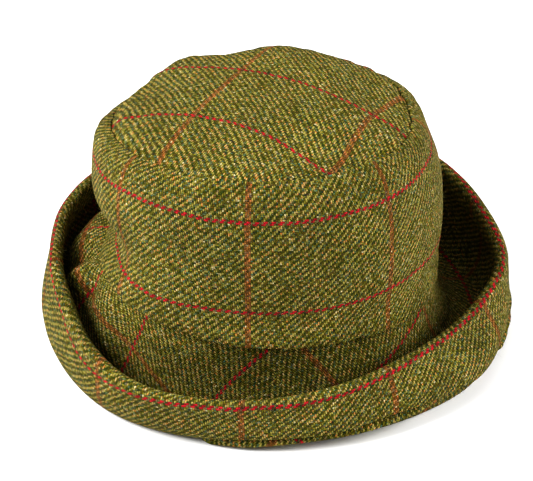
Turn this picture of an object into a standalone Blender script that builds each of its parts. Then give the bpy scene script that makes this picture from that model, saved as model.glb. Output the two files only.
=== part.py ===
"""Tweed cloche hat with a turned-up brim, made from its five cut pieces of cloth.

The hat stands on the sole of its brim, the ring where the cloth lies flat on the table.
Every piece is one sheet, worked out along the middle of the cloth and thickened by Solidify.

A place on a sheet is a reach and a height: reach is the distance from the upright axis of the
crown, and height is counted from the table. A bearing turns about that axis: 0 is +X, the
right-hand side seen from the front, 90 the back, 180 the left and 270 the front. A grid holds
one profile of places for each bearing, and offset() moves the profiles sideways, so that
layers which lie on each other all follow the same line.
"""

import bmesh
import bpy
import numpy as np

# Driving sizes, in metres
CROWN_WIDTH = 0.186     # crown at its fullest, side to side
CROWN_DEPTH = 0.191     # crown at its fullest, front to back
SEAM_RISE = 0.046       # head seam above the table
BAND_RISE = 0.090       # side band from the head seam up to the tip seam
DOME_RISE = 0.017       # middle of the tip above its seam
BRIM_REACH = 0.047      # widest part of the brim beyond the head seam
TURN_UP = 0.064         # rim of the turned-up brim above the table, at its highest
CLOTH = 0.0016          # thickness of one layer of tweed
LAYER_GAP = 0.0004      # air between two layers that lie on each other
SEAM_TUCK = 0.007       # seam allowance turned up or down inside the side band
SOLE_WIDTH = 0.006      # flat ring that rests on the table
CUFF_LAP = 0.008        # how far the cuff reaches down inside the rim

# Colours (linear) and roughness of the tweed
TWEED = (0.135, 0.115, 0.030)
TWEED_DARK = (0.105, 0.090, 0.026)
ROUGHNESS = 0.95

# Resolution of the solids: columns round the hat, and rows along each stretch of a profile
BEARINGS = 56
ROWS = {"band": 5, "dome": 5, "skirt": 5, "sole": 3, "turn": 2, "stand": 3, "crest": 4}

# Ovals of the crown from the head seam (share 0) to the tip seam (share 1).
# Width and depth are shares of the crown's width and depth, shift is a share of its width,
# right positive.
CROWN_COLUMNS = ("share", "width", "depth", "shift")
CROWN_ROWS = (
    (0.00, 0.968, 0.963, 0.000),
    (0.12, 0.989, 0.984, 0.004),
    (0.30, 0.996, 0.995, 0.008),
    (0.52, 1.000, 1.000, 0.003),
    (0.72, 0.986, 0.990, -0.003),
    (0.86, 0.952, 0.963, -0.009),
    (0.94, 0.920, 0.930, -0.012),
    (1.00, 0.876, 0.885, -0.014),
)

# Heights and reaches round the hat. Seam is a share of SEAM_RISE. Tip is the tip seam's share
# of BAND_RISE. Sole, belly and rim are how far the resting ring, the widest part and the rim
# reach beyond the head seam, as shares of BRIM_REACH. Belly_up and rim_up are heights, as
# shares of TURN_UP. Cuff is where the cuff's lower edge lies, from 0 at the sole to 1 at the rim.
# Shelf is 1 where the skirt runs level out of the seam before it drops, and 0 where it is plain.
BRIM_COLUMNS = ("bearing", "seam", "tip", "sole", "belly", "belly_up", "rim", "rim_up", "cuff",
                "shelf")
BRIM_ROWS = (
    (0, 1.00, 0.93, 0.74, 1.00, 0.30, 0.93, 0.70, 0.54, 0.00),
    (20, 1.04, 0.94, 0.72, 0.99, 0.32, 0.91, 0.85, 0.54, 0.00),
    (40, 1.09, 0.94, 0.66, 0.95, 0.35, 0.91, 0.96, 0.52, 0.00),
    (65, 1.09, 0.91, 0.58, 0.84, 0.35, 0.84, 1.00, 0.52, 0.00),
    (90, 1.09, 0.90, 0.54, 0.76, 0.35, 0.76, 1.00, 0.52, 0.05),
    (115, 1.09, 0.88, 0.54, 0.75, 0.35, 0.75, 0.98, 0.52, 0.30),
    (140, 1.09, 0.87, 0.56, 0.78, 0.34, 0.76, 0.93, 0.50, 0.90),
    (160, 1.07, 0.87, 0.57, 0.76, 0.32, 0.73, 0.86, 0.46, 0.95),
    (170, 1.05, 0.88, 0.57, 0.75, 0.30, 0.68, 0.83, 0.44, 0.70),
    (180, 1.04, 0.90, 0.56, 0.74, 0.29, 0.63, 0.80, 0.40, 0.25),
    (200, 1.09, 0.93, 0.50, 0.66, 0.28, 0.57, 0.71, 0.28, 0.00),
    (220, 1.13, 0.97, 0.38, 0.61, 0.27, 0.60, 0.56, 0.18, 0.00),
    (240, 1.11, 0.99, 0.27, 0.58, 0.28, 0.62, 0.47, 0.16, 0.00),
    (255, 1.04, 1.00, 0.22, 0.56, 0.28, 0.60, 0.47, 0.22, 0.00),
    (270, 1.00, 1.00, 0.30, 0.55, 0.26, 0.57, 0.49, 0.31, 0.00),
    (285, 0.98, 1.00, 0.38, 0.57, 0.25, 0.53, 0.52, 0.34, 0.00),
    (300, 0.96, 1.00, 0.44, 0.60, 0.25, 0.50, 0.55, 0.36, 0.00),
    (315, 0.87, 0.98, 0.53, 0.67, 0.25, 0.51, 0.57, 0.37, 0.00),
    (330, 0.85, 0.96, 0.65, 0.78, 0.25, 0.59, 0.58, 0.41, 0.00),
    (345, 0.91, 0.94, 0.72, 0.90, 0.26, 0.74, 0.62, 0.48, 0.00),
)

# Dents and bulges of the side band. Share is the height on the band, depth a share of the
# crown's width, a bulge being negative; wide is in degrees and tall in shares of the height.
DENT_COLUMNS = ("bearing", "share", "depth", "wide", "tall")
DENT_ROWS = (
    (183, 0.26, 0.059, 24, 0.17),
    (208, 0.22, 0.022, 12, 0.15),
    (236, 0.20, -0.014, 14, 0.22),
    (180, 0.94, -0.007, 16, 0.12),
    (225, 0.02, -0.016, 22, 0.10),
    (28, 0.97, -0.012, 16, 0.12),
    (4, 0.84, 0.006, 12, 0.10),
)

# Folds of the brim between the head seam (along 0) and the sole (along 1). Lift is a share of
# BRIM_REACH, up and outwards; wide is in degrees and long in the same measure as along.
FOLD_COLUMNS = ("bearing", "along", "lift", "wide", "long")
FOLD_ROWS = (
    (184, 0.30, 0.11, 7, 0.20),
    (199, 0.50, -0.04, 7, 0.30),
    (216, 0.50, 0.06, 7, 0.34),
    (345, 0.55, -0.06, 26, 0.26),
)

# Rises and hollows of the tip. Right and back are shares of the crown's half width and half
# depth, rise a share of DOME_RISE and wide a share of the crown's half width.
DOME_COLUMNS = ("right", "back", "rise", "wide")
DOME_HOLLOWS = (
    (-0.56, 0.62, 0.78, 0.26),
    (-0.55, 0.60, 0.34, 0.16),
    (-0.26, 0.72, -0.18, 0.16),
    (0.12, 0.62, 0.42, 0.38),
    (-0.80, 0.25, -0.30, 0.26),
    (0.66, 0.10, -0.20, 0.26),
)
DOME_FLATNESS = 2.4
HOLLOW_FADE = 4
FOLD_FADE = 0.3
HALF_TURN = 180.0

# Handles of the brim's curves, as shares of the way across and the way down or up
SKIRT_START = (0.16, 0.40)
SKIRT_END = (0.55, 0.0)
SHELF_START = (1.20, 0.03)
SHELF_END = (-0.20, 0.90)
TURN_START = (0.55, 0.0)
TURN_END = (0.0, 0.55)
STAND_START = (0.0, 0.40)
STAND_END = (0.30, 0.35)
BELLY_ALONG = 2.5
# How much lower the brim is joined where its skirt is a shelf, to pass under the band's edge
SHELF_DROP = 0.002

# Distances from one layer's middle to the next, and of the stacks in the seams and the rim
LAYER = CLOTH + LAYER_GAP
CORE_MIDDLE = CLOTH / 2 + 1.5 * LAYER
SOLE_LEVEL = CLOTH / 2 + LAYER / 2
CUFF_SIDE = 1.5 * LAYER


def columns(names, rows):
    """The table's columns by name."""
    return dict(zip(names, np.array(rows, dtype=float).T))


CROWN = columns(CROWN_COLUMNS, CROWN_ROWS)
BRIM = columns(BRIM_COLUMNS, BRIM_ROWS)
DENTS = columns(DENT_COLUMNS, DENT_ROWS)
FOLDS = columns(FOLD_COLUMNS, FOLD_ROWS)
HOLLOWS = columns(DOME_COLUMNS, DOME_HOLLOWS)


def smooth_through(knots, values, at):
    """Cubic curve through the knots, whose slope at each knot is that of its neighbours."""
    slopes = np.gradient(values, knots)
    left = np.clip(np.searchsorted(knots, at, side="right") - 1, 0, len(knots) - 2)
    width = knots[left + 1] - knots[left]
    t = (at - knots[left]) / width
    ends = values[left] * (1 + 2 * t) * (1 - t) ** 2 + values[left + 1] * t * t * (3 - 2 * t)
    bends = slopes[left] * t * (1 - t) ** 2 - slopes[left + 1] * t * t * (1 - t)
    return ends + width * bends


def around(name, bearing):
    """A column of the brim's table at any bearing, closed on itself."""
    turn = 2 * HALF_TURN
    knots = np.concatenate((BRIM["bearing"] - turn, BRIM["bearing"], BRIM["bearing"] + turn))
    return smooth_through(knots, np.tile(BRIM[name], 3), np.mod(bearing, turn))


def bearing_away(bearing, other):
    """Angle between two bearings, in degrees, from 0 to 180 either way."""
    return np.mod(bearing - other + HALF_TURN, 2 * HALF_TURN) - HALF_TURN


def places(reach, height):
    """Reaches and heights as one array of places."""
    return np.stack(np.broadcast_arrays(reach, height), axis=-1)


def bezier(start, first, second, end, t):
    """Cubic curve from start to end, pulled towards the two handles."""
    t = t[..., None]
    blend = start * (1 - t) ** 3 + 3 * first * t * (1 - t) ** 2
    return blend + 3 * second * t * t * (1 - t) + end * t ** 3


def offset(grid, distance):
    """The grid with each of its profiles moved to its own left, mitred at the corners.

    The sides of a moved profile stay parallel to the old ones and the distance away from them,
    so layers that share their rows never touch. The distance may differ from place to place.
    """
    sides = np.diff(grid, axis=1)
    sides /= np.linalg.norm(sides, axis=-1, keepdims=True)
    left = np.stack((-sides[..., 1], sides[..., 0]), axis=-1)
    before = np.concatenate((left[:, :1], left), axis=1)
    after = np.concatenate((left, left[:, -1:]), axis=1)
    facing = np.sum(before * after, axis=-1, keepdims=True)
    return grid + np.asarray(distance)[..., None] * (before + after) / (1 + facing)


def fade(t):
    """Smooth step from 0 to 1 while t goes from 0 to 1."""
    t = np.clip(t, 0, 1)
    return t * t * (3 - 2 * t)


def rows_between(start, end, count, bearing):
    """Even steps from start to end, one row of values for each bearing."""
    steps = np.linspace(0, 1, count + 1)[None, :]
    return start + (end - start) * steps + np.zeros_like(bearing)


def bearings():
    """Bearings of the columns, as one column of numbers."""
    return np.linspace(0, 2 * HALF_TURN, BEARINGS, endpoint=False)[:, None]


def crown_face(bearing, share):
    """Outer face of the crown: an oval at each height, shifted, with its dents."""
    turned = np.radians(bearing)
    half_width = smooth_through(CROWN["share"], CROWN["width"], share) * CROWN_WIDTH / 2
    half_depth = smooth_through(CROWN["share"], CROWN["depth"], share) * CROWN_DEPTH / 2
    shift = smooth_through(CROWN["share"], CROWN["shift"], share) * CROWN_WIDTH
    oval = half_width * half_depth
    oval = oval / np.hypot(half_depth * np.cos(turned), half_width * np.sin(turned))
    reach = oval + shift * np.cos(turned)
    for at, up, depth, wide, tall in zip(*DENTS.values()):
        away = (bearing_away(bearing, at) / wide) ** 2 + ((share - up) / tall) ** 2
        reach = reach - depth * CROWN_WIDTH * np.exp(-away)
    low = around("seam", bearing) * SEAM_RISE
    high = SEAM_RISE + around("tip", bearing) * BAND_RISE
    return places(reach, low + (high - low) * share)


def crown_grid(bearing):
    """The crown's outer face from seam to seam. Its first and last rows hold the tucks."""
    tuck = SEAM_TUCK / BAND_RISE
    middle = rows_between(tuck, 1 - tuck, ROWS["band"], bearing)
    ends = np.zeros_like(bearing)
    return crown_face(bearing, np.concatenate((ends, middle, ends + 1), axis=1))


def band_grid(bearing):
    return offset(crown_grid(bearing), CLOTH / 2)


def tip_grid(bearing):
    """The dome from its middle to the tip seam, then the edge turned down inside the band."""
    tuck = offset(band_grid(bearing), LAYER)
    out = rows_between(0, 1, ROWS["dome"], bearing)
    edge = tuck[:, -1:]
    reach = edge[..., 0] * out
    right = reach * np.cos(np.radians(bearing)) / (CROWN_WIDTH / 2)
    back = reach * np.sin(np.radians(bearing)) / (CROWN_DEPTH / 2)
    level = SEAM_RISE + np.mean(BRIM["tip"]) * BAND_RISE
    height = level + (edge[..., 1] - level) * out ** 2 + DOME_RISE * (1 - out ** DOME_FLATNESS)
    for x, y, rise, wide in zip(*HOLLOWS.values()):
        away = ((right - x) ** 2 + (back - y) ** 2) / wide ** 2
        height = height + rise * DOME_RISE * np.exp(-away) * (1 - out ** HOLLOW_FADE)
    return np.concatenate((places(reach, height), tuck[:, -2:-1]), axis=1)


def brim_corners(bearing, seam):
    """Places that the brim's line passes: inner and outer edge of the sole, belly and rim."""
    reach = seam[..., 0]
    sole = reach + around("sole", bearing) * BRIM_REACH
    inner = places(sole - SOLE_WIDTH / 2, SOLE_LEVEL)
    outer = places(sole + SOLE_WIDTH / 2, SOLE_LEVEL)
    belly = places(reach + around("belly", bearing) * BRIM_REACH,
                   around("belly_up", bearing) * TURN_UP)
    rim = places(reach + around("rim", bearing) * BRIM_REACH,
                 around("rim_up", bearing) * TURN_UP - CUFF_SIDE - CLOTH / 2)
    return inner, outer, belly, rim


def brim_line(bearing, seam, along):
    """Line between the brim's two layers, below the head seam and before its folds.

    Along runs from 0 at the seam to 1 down the skirt, to 2 across the sole and to 3 up to the
    rim, with the belly half way up.
    """
    inner, outer, belly, rim = brim_corners(bearing, seam)
    run = inner - seam
    shelf = around("shelf", bearing)[..., None]
    start = SKIRT_START + shelf * np.subtract(SHELF_START, SKIRT_START)
    end = SKIRT_END + shelf * np.subtract(SHELF_END, SKIRT_END)
    skirt = bezier(seam, seam + run * start, inner - run * end, inner, along)
    across = inner + (outer - inner) * (along - 1)[..., None]
    swing = belly - outer
    turn = bezier(outer, outer + swing * TURN_START, belly - swing * TURN_END, belly,
                  2 * (along - 2))
    lean = rim - belly
    stand = bezier(belly, belly + lean * STAND_START, rim - lean * STAND_END, rim,
                   2 * (along - BELLY_ALONG))
    bounds = [(along <= end)[..., None] for end in (1, 2, BELLY_ALONG)]
    return np.select(bounds, (skirt, across, turn), default=stand)


def fold_lift(bearing, along):
    """How far the folds push the skirt of the brim out of its plain line."""
    lift = np.zeros(along.shape)
    for at, where, height, wide, long in zip(*FOLDS.values()):
        away = (bearing_away(bearing, at) / wide) ** 2 + ((along - where) / long) ** 2
        lift = lift + height * BRIM_REACH * np.exp(-away)
    return lift * fade(along / FOLD_FADE) * fade((1 - along) / FOLD_FADE)


def brim_grid(bearing):
    """Line between the brim's layers: the tuck inside the band, then skirt, sole and stand.

    One of its rows runs along the cuff's lower edge, and its last but one row along the edge
    of the cuff's lap inside the rim.
    """
    tuck = offset(crown_grid(bearing), CORE_MIDDLE)[:, 1::-1]
    drop = LAYER + around("shelf", bearing)[..., None] * SHELF_DROP
    seam = tuck[:, 1:] + (tuck[:, 1:] - tuck[:, :1]) * (drop / SEAM_TUCK)
    inner, outer, belly, rim = brim_corners(bearing, seam)
    cuff_edge = 2 + around("cuff", bearing)
    lap_edge = 3 - CUFF_LAP / 2 / np.linalg.norm(rim - belly, axis=-1)
    parts = (rows_between(0, 1, ROWS["skirt"], bearing),
             rows_between(1, 2, ROWS["sole"], bearing),
             rows_between(2, cuff_edge, ROWS["turn"], bearing),
             rows_between(cuff_edge, lap_edge, ROWS["stand"], bearing),
             rows_between(lap_edge, 3, 1, bearing))
    along = np.concatenate([part[:, :-1] for part in parts[:-1]] + [parts[-1]], axis=1)
    line = offset(brim_line(bearing, seam, along), fold_lift(bearing, along))
    return np.concatenate((tuck[:, :1], line), axis=1)


def upper_grid(bearing):
    """Top layer of the brim, which needs no rows across the flat sole."""
    across = 1 + ROWS["skirt"] + np.arange(1, ROWS["sole"])
    return np.delete(offset(brim_grid(bearing), LAYER / 2), across, axis=1)


def under_grid(bearing):
    """Bottom layer of the brim, from the head seam to the rim."""
    return offset(brim_grid(bearing), -LAYER / 2)[:, 1:]


def cuff_grid(bearing):
    """From its lower edge up outside the rim, over the crest and down to its lap inside."""
    brim = brim_grid(bearing)[:, -ROWS["stand"] - 2:]
    outer = offset(brim, -CUFF_SIDE)
    inner = offset(brim, CUFF_SIDE)[:, :-3:-1]
    rim = brim[:, -1:]
    arm = outer[:, -1:] - rim
    ahead = np.stack((-arm[..., 1], arm[..., 0]), axis=-1)
    turn = np.linspace(0, np.pi, ROWS["crest"] + 1)[None, 1:-1, None]
    crest = rim + arm * np.cos(turn) + ahead * np.sin(turn)
    return np.concatenate((outer, crest, inner), axis=1)


def cloth_material(name, colour):
    """Woollen cloth: rough, with no metal."""
    material = bpy.data.materials.new(name)
    material.use_nodes = True
    shader = material.node_tree.nodes["Principled BSDF"]
    shader.inputs["Base Color"].default_value = (*colour, 1.0)
    shader.inputs["Roughness"].default_value = ROUGHNESS
    shader.inputs["Metallic"].default_value = 0.0
    material.diffuse_color = (*colour, 1.0)
    return material


def sheet_object(name, grid, colour, parent):
    """A ring of cloth from its grid of places. A first row with no reach becomes one point."""
    turned = np.radians(bearings())
    points = np.stack((grid[..., 0] * np.cos(turned), grid[..., 0] * np.sin(turned),
                       grid[..., 1]), axis=-1)
    mesh_data = bmesh.new()
    rows = list(range(points.shape[1]))
    closed = np.allclose(grid[:, 0, 0], 0)
    if closed:
        middle = mesh_data.verts.new(points[:, 0].mean(axis=0))
        rows = rows[1:]
    rings = [[mesh_data.verts.new(point) for point in points[:, row]] for row in rows]
    heights = dict(zip(rows, grid[..., 1].mean(axis=0)[rows]))
    for i in range(BEARINGS):
        j = (i + 1) % BEARINGS
        if closed:
            mesh_data.faces.new((middle, rings[0][i], rings[0][j]))
        for k, (near, far) in enumerate(zip(rings, rings[1:])):
            rising = heights[rows[k]] <= heights[rows[k + 1]]
            low, high = (near, far) if rising else (far, near)
            mesh_data.faces.new((low[i], low[j], high[j]))
            mesh_data.faces.new((low[i], high[j], high[i]))
    bmesh.ops.recalc_face_normals(mesh_data, faces=mesh_data.faces[:])
    mesh = bpy.data.meshes.new(name)
    mesh_data.to_mesh(mesh)
    mesh_data.free()
    mesh.shade_smooth()
    mesh.materials.append(cloth_material(name + "_cloth", colour))
    piece = bpy.data.objects.new(name, mesh)
    piece.parent = parent
    bpy.context.scene.collection.objects.link(piece)
    thickness = piece.modifiers.new("cloth thickness", "SOLIDIFY")
    thickness.thickness = CLOTH
    thickness.offset = 0
    thickness.use_even_offset = True
    return piece


def centre_over_table(parent, pieces):
    """Move the hat so that the middle of its outline lies over the origin."""
    bpy.context.view_layer.update()
    graph = bpy.context.evaluated_depsgraph_get()
    corners = np.concatenate([np.array(piece.evaluated_get(graph).bound_box)
                              for piece in pieces])
    middle = (corners.min(axis=0) + corners.max(axis=0)) / 2
    parent.location = (-middle[0], -middle[1], 0.0)


def main():
    for leftover in list(bpy.data.objects):
        bpy.data.objects.remove(leftover, do_unlink=True)
    axis = bpy.data.objects.new("crown_axis", None)
    bpy.context.scene.collection.objects.link(axis)
    bearing = bearings()
    pieces = [
        sheet_object("tip", tip_grid(bearing), TWEED, axis),
        sheet_object("side_band", band_grid(bearing), TWEED, axis),
        sheet_object("brim_upper", upper_grid(bearing), TWEED_DARK, axis),
        sheet_object("brim_under", under_grid(bearing), TWEED_DARK, axis),
        sheet_object("cuff", cuff_grid(bearing), TWEED, axis),
    ]
    centre_over_table(axis, pieces)


main()
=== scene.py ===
"""Looks of a tweed cloche hat: woollen sheets for its five cut pieces, and the studio round it.

The hat's form is worked out with numpy as profiles of (reach, height) round the upright axis of
the crown, as in the part's own source, on a finer grid and with the finer folds of the cloth.
"""

import bpy
import numpy as np
from bpy.props import FloatProperty, FloatVectorProperty, IntProperty, PointerProperty
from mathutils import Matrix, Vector


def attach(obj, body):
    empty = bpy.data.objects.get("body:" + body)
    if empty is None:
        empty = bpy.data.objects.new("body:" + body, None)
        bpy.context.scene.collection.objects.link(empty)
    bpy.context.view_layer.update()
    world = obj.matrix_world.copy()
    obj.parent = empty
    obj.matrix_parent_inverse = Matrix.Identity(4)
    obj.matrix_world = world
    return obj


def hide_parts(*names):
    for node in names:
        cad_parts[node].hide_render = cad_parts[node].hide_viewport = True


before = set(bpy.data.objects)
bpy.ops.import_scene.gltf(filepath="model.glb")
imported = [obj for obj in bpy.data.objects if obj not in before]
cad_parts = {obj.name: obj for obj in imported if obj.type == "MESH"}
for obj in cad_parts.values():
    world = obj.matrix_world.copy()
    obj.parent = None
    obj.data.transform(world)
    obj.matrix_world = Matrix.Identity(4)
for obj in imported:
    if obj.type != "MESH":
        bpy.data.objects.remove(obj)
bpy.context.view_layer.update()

bl_info = {
    "name": "Tweed cloche hat",
    "version": (1, 0, 0),
    "blender": (4, 5, 0),
    "location": "View3D > Sidebar > Hat",
    "description": "Builds a tweed cloche hat with a turned-up brim and its studio",
    "category": "Object",
}

BODY = "root"

# Ovals of the crown from the head seam (share 0) to the tip seam (share 1), as shares of the
# crown's width and depth. Shift is a share of its width, right positive.
CROWN_COLUMNS = ("share", "width", "depth", "shift")
CROWN_ROWS = (
    (0.00, 0.968, 0.963, 0.000),
    (0.12, 0.989, 0.984, 0.004),
    (0.30, 0.996, 0.995, 0.008),
    (0.52, 1.000, 1.000, 0.003),
    (0.72, 0.986, 0.990, -0.003),
    (0.86, 0.952, 0.963, -0.009),
    (0.94, 0.920, 0.930, -0.012),
    (1.00, 0.876, 0.885, -0.014),
)

# Heights and reaches round the hat. Seam is a share of the seam's rise and tip of the band's.
# Sole, belly and rim are reaches beyond the head seam, as shares of the brim's reach. Belly_up
# and rim_up are shares of the turn-up. Cuff is its lower edge, from 0 at the sole to 1 at the rim.
# Shelf is 1 where the skirt runs level out of the seam before it drops, and 0 where it is plain.
# Line is how many yarns the cuff's red line lies beyond the rim's crest.
BRIM_COLUMNS = ("bearing", "seam", "tip", "sole", "belly", "belly_up", "rim", "rim_up", "cuff",
                "shelf", "line")
BRIM_ROWS = (
    (0, 1.04, 0.93, 0.74, 0.96, 0.30, 0.93, 0.70, 0.50, 0.00, -1.0),
    (20, 1.06, 0.94, 0.72, 0.97, 0.32, 0.91, 0.85, 0.49, 0.00, 1.0),
    (40, 1.09, 0.94, 0.66, 0.95, 0.35, 0.91, 0.96, 0.53, 0.00, -2.0),
    (65, 1.09, 0.91, 0.58, 0.84, 0.35, 0.84, 1.00, 0.52, 0.00, -1.0),
    (90, 1.09, 0.90, 0.54, 0.76, 0.35, 0.76, 1.00, 0.52, 0.05, -1.0),
    (115, 1.09, 0.88, 0.54, 0.75, 0.35, 0.75, 0.98, 0.52, 0.30, -2.0),
    (140, 1.09, 0.85, 0.56, 0.78, 0.34, 0.76, 0.93, 0.50, 0.90, -2.0),
    (160, 1.07, 0.86, 0.57, 0.76, 0.32, 0.73, 0.86, 0.46, 1.00, -2.0),
    (170, 1.05, 0.88, 0.58, 0.75, 0.30, 0.68, 0.83, 0.44, 0.98, -2.0),
    (180, 1.08, 0.90, 0.58, 0.74, 0.29, 0.63, 0.80, 0.40, 0.60, -2.5),
    (188, 1.13, 0.91, 0.56, 0.71, 0.29, 0.60, 0.77, 0.36, 0.62, -4.0),
    (200, 1.22, 0.93, 0.50, 0.66, 0.28, 0.57, 0.71, 0.28, 0.50, -6.0),
    (220, 1.33, 0.97, 0.38, 0.61, 0.27, 0.60, 0.56, 0.18, 0.00, -10.0),
    (240, 1.27, 0.99, 0.27, 0.58, 0.28, 0.62, 0.47, 0.16, 0.00, -4.3),
    (255, 1.18, 1.00, 0.22, 0.56, 0.28, 0.60, 0.47, 0.29, 0.00, -2.4),
    (270, 1.14, 1.00, 0.30, 0.55, 0.26, 0.57, 0.49, 0.36, 0.00, -3.3),
    (285, 1.12, 1.00, 0.38, 0.57, 0.25, 0.53, 0.52, 0.40, 0.00, -4.5),
    (300, 1.09, 1.00, 0.44, 0.59, 0.25, 0.50, 0.55, 0.44, 0.00, -4.5),
    (315, 1.01, 0.98, 0.55, 0.68, 0.24, 0.51, 0.57, 0.44, 0.00, -3.6),
    (330, 0.98, 0.96, 0.68, 0.83, 0.23, 0.59, 0.58, 0.40, 0.00, -3.3),
    (345, 1.00, 0.94, 0.73, 0.88, 0.25, 0.74, 0.62, 0.44, 0.00, -2.4),
)

# Dents (positive) and bulges of the side band, depth as a share of the crown's width
DENT_COLUMNS = ("bearing", "share", "depth", "wide", "tall")
DENT_ROWS = (
    (183, 0.26, 0.059, 24, 0.17),
    (208, 0.22, 0.022, 12, 0.15),
    (236, 0.20, -0.014, 14, 0.22),
    (180, 0.94, -0.007, 16, 0.12),
    (225, 0.02, -0.016, 22, 0.10),
    (28, 0.97, -0.012, 16, 0.12),
    (4, 0.84, 0.006, 12, 0.10),
)

# Folds of the brim between the head seam (along 0) and the sole (along 1), as shares of its reach
FOLD_COLUMNS = ("bearing", "along", "lift", "wide", "long")
FOLD_ROWS = (
    (186, 0.40, 0.13, 5, 0.20),
    (196, 0.36, -0.10, 5, 0.26),
    (212, 0.50, 0.07, 7, 0.34),
    (345, 0.55, -0.06, 26, 0.26),
)

# Rises and hollows of the tip. Right and back are shares of the crown's half width and depth.
DOME_COLUMNS = ("right", "back", "rise", "wide")
DOME_ROWS = (
    (-0.56, 0.62, 0.70, 0.26),
    (-0.55, 0.60, 0.22, 0.16),
    (-0.26, 0.72, -0.18, 0.16),
    (0.12, 0.62, 0.42, 0.38),
    (-0.80, 0.25, -0.30, 0.26),
    (0.66, 0.10, -0.20, 0.26),
)

# Unevenness of soft cloth: waves round the hat and along the profile, height as a share of the
# size "wobble"
WAVE_COLUMNS = ("turns", "turn_phase", "rises", "rise_phase", "height")
WAVE_ROWS = (
    (3, 0.4, 1, 0.2, 0.50),
    (5, 2.1, 1, 1.9, 0.45),
    (7, 4.0, 2, 0.7, 0.40),
    (11, 1.3, 2, 2.6, 0.30),
    (13, 5.2, 3, 1.1, 0.24),
    (17, 0.9, 3, 4.0, 0.18),
    (23, 3.3, 4, 2.2, 0.13),
    (29, 2.7, 5, 5.0, 0.10),
)

# How deep the tip's seam lies and how far the tip swells beside it, as shares of the sizes
# "shoulder" and "puff"
SEAM_COLUMNS = ("bearing", "deep", "swell")
SEAM_ROWS = (
    (0, 1.0, 1.0),
    (35, 1.4, 1.6),
    (60, 1.2, 1.2),
    (90, 1.0, 0.8),
    (115, 1.0, 0.5),
    (140, 1.2, 2.1),
    (165, 1.3, 2.6),
    (190, 1.4, 1.6),
    (220, 1.1, 1.0),
    (245, 0.6, 0.5),
    (270, 0.3, 0.3),
    (315, 0.5, 0.4),
)

# Small gathers along both seams of the crown, height as a share of the size "pucker"
PUCKER_COLUMNS = ("turns", "phase", "height")
PUCKER_ROWS = (
    (27, 0.7, 0.9),
    (41, 2.9, 0.8),
    (64, 1.3, 0.5),
)

# How each piece lies on the woven cloth: its weft's angle in degrees, how far it is moved along
# the weft and along the warp, and how many yarns lie each way where one would lie without any
# stretch. Hand is -1 where the cloth's reverse is outside.
LAY_COLUMNS = ("turn", "along_weft", "along_warp", "weft_count", "warp_count", "hand")
LAY_ROWS = {
    "side_band": (0, 10.5, 0, 0.98, 1.04, 1),
    "tip": (-27, 21, 11, 0.98, 1.0, -1),
    "brim_upper": (45, 37.4, 26.7, 0.94, 1.0, 1),
    "brim_under": (45, 14.9, 28.7, 0.94, 1.0, 1),
    "cuff": (0, 13.3, 1, 0.89, 1.14, 1),
}
# The overcheck: every how many weft yarns a red line comes and every how many warp yarns a rust
# one, and how many yarns each line has
RED_REPEAT = 54
RUST_REPEAT = 76
RED_YARNS = 2
RUST_YARNS = 3

# Height of the band's lower red line, and the reaches that its and the cuff's yarns go round
BAND_LEVEL = 0.068
BAND_GIRTH = 0.093
CUFF_GIRTH = 0.122

# Where the tip's cloth is eased into its seam: the place to the right and back of the axis, how
# far the cloth is drawn to the front there, and how wide the eased place is
EASE_AT = (0.035, -0.065)
EASE = 0.012
EASE_WIDE = 0.03

# Lengths over which the band's lip and shoulder, the tip's puff, the gathers and the cuff's
# flare die out
LIP_LENGTH = 0.007
SHOULDER_LENGTH = 0.005
PUFF_LENGTH = 0.009
PUCKER_LENGTH = 0.007
FLARE_LENGTH = 0.009
# The value in the column "cuff" from which its lower edge flares fully
FLARE_FROM = 0.5
# How much the band's lip hangs for each length that it stands out
LIP_HANG = 1.0
# How far below the cuff's edge the brim rolls out most, half the roll's width, and the least
# length between the cuff's edge and the sole for any roll and for a full one
HEM_BELOW = 0.0038
HEM_WIDE = 0.0018
HEM_ROOM = (0.0110, 0.0128)

# Bearings, in degrees
FULL_TURN = 360.0
FRONT = 270.0
BACK = 90.0

# Powers of the share from the tip's middle to its seam, by which the dome falls and its hollows
# die out
DOME_FLATNESS = 2.4
HOLLOW_FADE = 4
# Share of a profile over which folds and unevenness set in beside a seam, and the place along
# the brim's line from which its stand is uneven
FOLD_FADE = 0.3
WOBBLE_FROM = 2.2

# Handles of the brim's curves, as shares of a curve's way in reach and in height: the plain
# skirt, the skirt that is a shelf, the turn from the sole to the belly, and the stand
SKIRT_START = (0.16, 0.40)
SKIRT_END = (0.55, 0.0)
SHELF_START = (1.20, 0.03)
SHELF_END = (-0.20, 0.90)
TURN_START = (0.55, 0.0)
TURN_END = (0.0, 0.55)
STAND_START = (0.0, 0.40)
STAND_END = (0.30, 0.35)
# Where the belly lies along the brim's line
BELLY_ALONG = 2.5
# How much lower the brim is joined where its skirt is a shelf, to pass under the band's edge
SHELF_DROP = 0.002
# How many layers the middle of the cuff, or of the side band, lies from the brim's line, which
# runs between its own two layers
LAYERS_OUT = 1.5
# Trial rows for each row of the brim, to space the rows evenly
FINER = 8
# The brim is cut as a ring that closes half a turn: its bearings spread half as fast when flat
BRIM_SPREAD = 0.5

# Stray fibres: how steeply they leave the cloth, how much they curl, how even their lengths
# are, how deep they are rooted, how fine their colours mix and from which value to which, and
# their sides and rings
FIBRE_LIFT = 1.2
FIBRE_CURL = 0.35
FIBRE_SPREAD = 3.0
FIBRE_DEPTH = 0.0003
FIBRE_MIX = 300.0
FIBRE_MIX_STEP = (0.42, 0.62)
FIBRE_SIDES = 3
FIBRE_RINGS = 3
FIBRE_SEED = 7

# Rows along each stretch of a profile
ROWS = {"band": 52, "dome": 58, "skirt": 34, "sole": 5, "turn": 22, "stand": 20, "crest": 8,
        "cap": 4, "tuck": 9, "lap": 5}

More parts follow.
